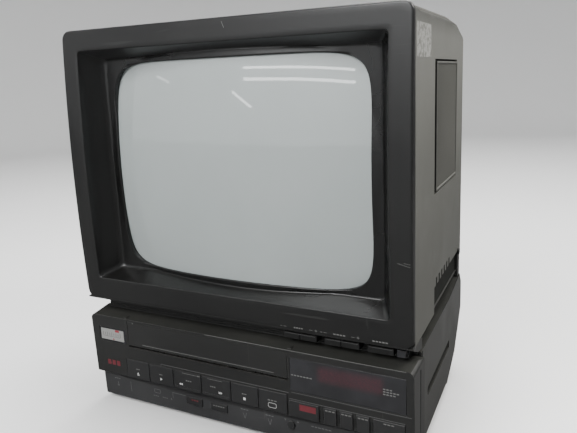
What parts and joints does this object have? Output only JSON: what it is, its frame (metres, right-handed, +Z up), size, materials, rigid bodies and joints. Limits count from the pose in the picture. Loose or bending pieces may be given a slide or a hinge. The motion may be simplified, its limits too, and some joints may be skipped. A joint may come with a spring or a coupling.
{
  "type": "tv and video recorder combo",
  "caption": "Small tube television with a deep screen recess, standing on a ridged neck over a front-loading cassette recorder with a flap door and a row of keys.",
  "frame": {"origin": "centre of the bounding box at the height of the feet's soles", "axes": "+Z up, front (screen and cassette slot) towards -Y, +X to the right seen from the front"},
  "size_m": [0.375, 0.37, 0.408],
  "materials": {
    "charcoal_plastic": "satin, fine grain",
    "cover_plastic": "fine matt grain",
    "recorder_plastic": "satin, fine grain",
    "key_plastic": "satin",
    "tube_glass": "gloss over grey phosphor",
    "smoked_window": "gloss",
    "steel": "plain",
    "zinc": "zinc plated",
    "polished_metal": "polished",
    "copper_winding": "lacquered copper wire",
    "circuit_board": "matt",
    "potting": "matt",
    "rubber": "matt",
    "nylon": "satin"
  },
  "bodies": {
    "cabinet": {"front_bezel": "charcoal_plastic", "tv_rear_cover": "cover_plastic", "picture_tube": "tube_glass", "tube_band": "steel", "deflection_yoke": "copper_winding", "neck_board": "circuit_board", "tv_board": "circuit_board", "flyback_transformer": "potting", "speaker": "steel", "speaker_grille": "cover_plastic", "standby_lens": "smoked_window", "aerial_socket": "zinc", "mains_cord_gland": "rubber", "rear_screw_1": "zinc", "rear_screw_2": "zinc", "rear_screw_3": "zinc", "rear_screw_4": "zinc", "neck_plinth": "recorder_plastic", "vcr_case": "recorder_plastic", "base_pan": "steel", "vcr_fascia": "recorder_plastic", "foot_1": "rubber", "foot_2": "rubber", "foot_3": "rubber", "foot_4": "rubber", "deck_plate": "zinc", "drum_base": "polished_metal", "loading_motor": "steel", "vcr_board": "circuit_board", "power_transformer": "copper_winding", "display_window": "smoked_window", "display_board": "circuit_board", "scale_window": "smoked_window"},
    "volume_rocker": {"volume_rocker": "key_plastic"},
    "channel_rocker": {"channel_rocker": "key_plastic"},
    "operate_button": {"operate_button": "key_plastic"},
    "cassette_door": {"cassette_door": "recorder_plastic"},
    "cassette_carriage": {"cassette_carriage": "zinc"},
    "cassette_tray": {"cassette_tray": "steel"},
    "head_drum": {"head_drum": "polished_metal"},
    "capstan_flywheel": {"capstan_flywheel": "polished_metal"},
    "pinch_arm": {"pinch_arm": "steel"},
    "pinch_roller": {"pinch_roller": "rubber"},
    "supply_reel": {"supply_reel": "nylon"},
    "takeup_reel": {"takeup_reel": "nylon"},
    "cam_gear": {"cam_gear": "nylon"},
    "tracking_knob": {"tracking_knob": "key_plastic"},
    "eject_button": {"eject_button": "key_plastic"},
    "play_button": {"play_button": "key_plastic"},
    "rewind_button": {"rewind_button": "key_plastic"},
    "forward_button": {"forward_button": "key_plastic"},
    "stop_button": {"stop_button": "key_plastic"},
    "monitor_button": {"monitor_button": "key_plastic"},
    "memory_button": {"memory_button": "key_plastic"},
    "timer_key_1": {"timer_key_1": "key_plastic"},
    "timer_key_2": {"timer_key_2": "key_plastic"},
    "timer_key_3": {"timer_key_3": "key_plastic"},
    "timer_key_4": {"timer_key_4": "key_plastic"},
    "record_button": {"record_button": "key_plastic"},
    "pause_button": {"pause_button": "key_plastic"}
  },
  "joints": [
    {"name": "volume_rock", "type": "hinge", "parent": "cabinet", "child": "volume_rocker", "pos_m": [0.0735, -0.165, 0.1142], "axis": [0, 0, 1], "range_deg": [-3, 3], "stiffness_Nm_per_rad": 0.05},
    {"name": "channel_rock", "type": "hinge", "parent": "cabinet", "child": "channel_rocker", "pos_m": [0.1163, -0.165, 0.1142], "axis": [0, 0, 1], "range_deg": [-3, 3], "stiffness_Nm_per_rad": 0.05},
    {"name": "operate_press", "type": "slide", "parent": "cabinet", "child": "operate_button", "axis": [0, 1, 0], "range_m": [0, 0.002], "stiffness_N_per_m": 200},
    {"name": "door_swing", "type": "hinge", "parent": "cabinet", "child": "cassette_door", "pos_m": [-0.0364, -0.1759, 0.0992], "axis": [1, 0, 0], "range_deg": [0, 90], "stiffness_Nm_per_rad": 0.01, "springref_deg": -8.59},
    {"name": "carriage_slide", "type": "slide", "parent": "cabinet", "child": "cassette_carriage", "axis": [0, 1, 0], "range_m": [0, 0.025]},
    {"name": "tray_lower", "type": "slide", "parent": "cassette_carriage", "child": "cassette_tray", "axis": [0, 0, -1], "range_m": [0, 0.016]},
    {"name": "drum_spin", "type": "hinge", "parent": "cabinet", "child": "head_drum", "pos_m": [-0.0364, 0.008, 0.07], "axis": [0, -0.0872, 0.9962], "continuous": true},
    {"name": "capstan_spin", "type": "hinge", "parent": "cabinet", "child": "capstan_flywheel", "pos_m": [0.025, -0.012, 0.0255], "axis": [0, 0, 1], "continuous": true},
    {"name": "pinch_swing", "type": "hinge", "parent": "cabinet", "child": "pinch_arm", "pos_m": [0.052, 0.004, 0.052], "axis": [0, 0, 1], "range_deg": [0, 14], "stiffness_Nm_per_rad": 0.02},
    {"name": "roller_spin", "type": "hinge", "parent": "pinch_arm", "child": "pinch_roller", "pos_m": [0.03063, -0.00237, 0.0566], "axis": [0, 0, 1], "continuous": true},
    {"name": "supply_spin", "type": "hinge", "parent": "cabinet", "child": "supply_reel", "pos_m": [-0.0824, -0.073, 0.05], "axis": [0, 0, 1], "continuous": true},
    {"name": "takeup_spin", "type": "hinge", "parent": "cabinet", "child": "takeup_reel", "pos_m": [0.0096, -0.073, 0.05], "axis": [0, 0, 1], "continuous": true},
    {"name": "cam_turn", "type": "hinge", "parent": "cabinet", "child": "cam_gear", "pos_m": [0.0815, -0.085, 0.041], "axis": [0, 0, 1], "range_deg": [0, 150]},
    {"name": "eject_press", "type": "slide", "parent": "cabinet", "child": "eject_button", "axis": [0, 1, 0], "range_m": [0, 0.0015], "stiffness_N_per_m": 200},
    {"name": "play_press", "type": "slide", "parent": "cabinet", "child": "play_button", "axis": [0, 1, 0], "range_m": [0, 0.0015], "stiffness_N_per_m": 200},
    {"name": "rewind_press", "type": "slide", "parent": "cabinet", "child": "rewind_button", "axis": [0, 1, 0], "range_m": [0, 0.0015], "stiffness_N_per_m": 200},
    {"name": "forward_press", "type": "slide", "parent": "cabinet", "child": "forward_button", "axis": [0, 1, 0], "range_m": [0, 0.0015], "stiffness_N_per_m": 200},
    {"name": "stop_press", "type": "slide", "parent": "cabinet", "child": "stop_button", "axis": [0, 1, 0], "range_m": [0, 0.0015], "stiffness_N_per_m": 200},
    {"name": "monitor_press", "type": "slide", "parent": "cabinet", "child": "monitor_button", "axis": [0, 1, 0], "range_m": [0, 0.0015], "stiffness_N_per_m": 200},
    {"name": "memory_press", "type": "slide", "parent": "cabinet", "child": "memory_button", "axis": [0, 1, 0], "range_m": [0, 0.0015], "stiffness_N_per_m": 200},
    {"name": "timer_1_press", "type": "slide", "parent": "cabinet", "child": "timer_key_1", "axis": [0, 1, 0], "range_m": [0, 0.0015], "stiffness_N_per_m": 200},
    {"name": "timer_2_press", "type": "slide", "parent": "cabinet", "child": "timer_key_2", "axis": [0, 1, 0], "range_m": [0, 0.0015], "stiffness_N_per_m": 200},
    {"name": "timer_3_press", "type": "slide", "parent": "cabinet", "child": "timer_key_3", "axis": [0, 1, 0], "range_m": [0, 0.0015], "stiffness_N_per_m": 200},
    {"name": "timer_4_press", "type": "slide", "parent": "cabinet", "child": "timer_key_4", "axis": [0, 1, 0], "range_m": [0, 0.0015], "stiffness_N_per_m": 200},
    {"name": "record_press", "type": "slide", "parent": "cabinet", "child": "record_button", "axis": [0, 1, 0], "range_m": [0, 0.0015], "stiffness_N_per_m": 200},
    {"name": "pause_press", "type": "slide", "parent": "cabinet", "child": "pause_button", "axis": [0, 1, 0], "range_m": [0, 0.0015], "stiffness_N_per_m": 200},
    {"name": "tracking_turn", "type": "hinge", "parent": "cabinet", "child": "tracking_knob", "pos_m": [0.062, -0.1777, 0.0222], "axis": [0, 1, 0], "range_deg": [-60, 60]}
  ],
  "couplings": [
    {"joint": "cam_turn", "follows": "carriage_slide", "rad_per_m": 104.7}
  ]
}
